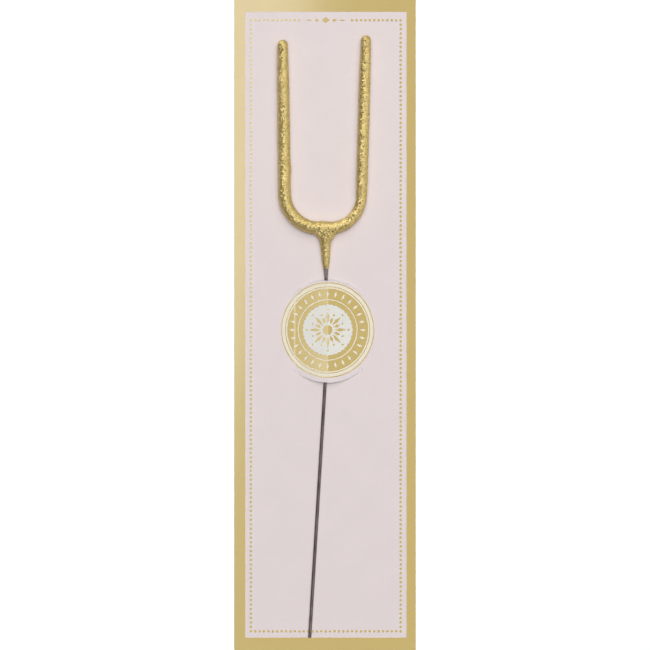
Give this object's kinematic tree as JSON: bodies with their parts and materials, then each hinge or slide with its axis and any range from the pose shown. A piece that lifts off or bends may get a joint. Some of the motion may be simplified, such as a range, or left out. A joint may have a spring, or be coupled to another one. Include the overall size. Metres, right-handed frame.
{
  "type": "sparkler",
  "caption": "U-shaped gold sparkler on a dark wire stem, carried flat on a pink gift card with a gold border and held by a round die-cut tab that it slides out of.",
  "frame": {"origin": "centre of the card's back face", "axes": "+Z out of the card's printed face, +Y along the card towards the sparkler's open end"},
  "size_m": [0.0558, 0.2, 0.0045],
  "materials": {
    "board": "matte pale pink print on white board",
    "gold_foil": "satin gold hot foil",
    "gold_lacquer": "grainy gold lacquer with coarse metal glitter",
    "spark_mixture": "matte dark grey baked mixture",
    "steel_wire": "dark drawn steel"
  },
  "bodies": {
    "card": {"backing_card": "board", "holding_tab": "board", "border_foil": "gold_foil", "seal_lines": "gold_foil", "seal_band": "gold_foil", "seal_scallop_ring": "gold_foil", "seal_burst": "gold_foil", "dotted_line": "gold_foil", "top_ornament": "gold_foil"},
    "sparkler": {"shaped_wire": "steel_wire", "stem_wire": "steel_wire", "weld_bead": "steel_wire", "spark_mixture": "spark_mixture", "gold_coating": "gold_lacquer"}
  },
  "joints": [
    {"name": "sparkler_slide", "type": "slide", "parent": "card", "child": "sparkler", "axis": [0.0609, 0.9981, 0], "range_m": [0, 0.113]}
  ]
}
